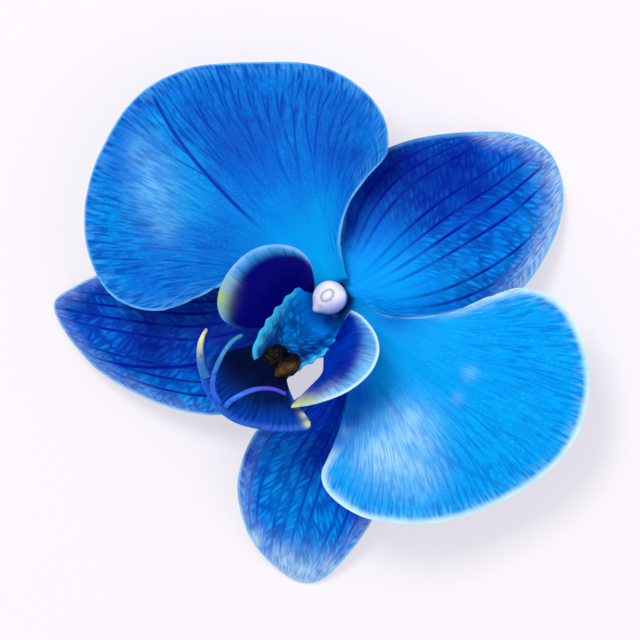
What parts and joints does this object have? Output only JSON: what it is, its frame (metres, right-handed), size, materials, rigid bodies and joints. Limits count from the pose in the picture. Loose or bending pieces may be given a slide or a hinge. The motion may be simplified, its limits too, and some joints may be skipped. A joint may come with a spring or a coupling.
{
  "type": "orchid flower",
  "caption": "Single moth orchid bloom as picked, lying face up: broad petals over narrower sepals, a lobed lip with barbs and tendrils, a column with its cap, and a short bent flower stalk.",
  "frame": {"origin": "middle of the bloom's underside, on the surface that it lies on", "axes": "+X to the right petal, +Y to the upper sepal's tip, +Z the way the bloom faces, which is up"},
  "size_m": [0.0984, 0.0874, 0.0323],
  "materials": {
    "petal": "satin",
    "sepal": "satin",
    "lip": "satin",
    "column": "satin",
    "cap": "satin",
    "pollen": "satin",
    "stalk": "satin"
  },
  "bodies": {
    "root": {"petal_left": "petal", "petal_right": "petal", "sepal_upper": "sepal", "sepal_lower_left": "sepal", "sepal_lower_right": "sepal", "lip": "lip", "column": "column", "anther_cap": "cap", "pollinia": "pollen", "pedicel": "stalk"}
  },
  "joints": []
}
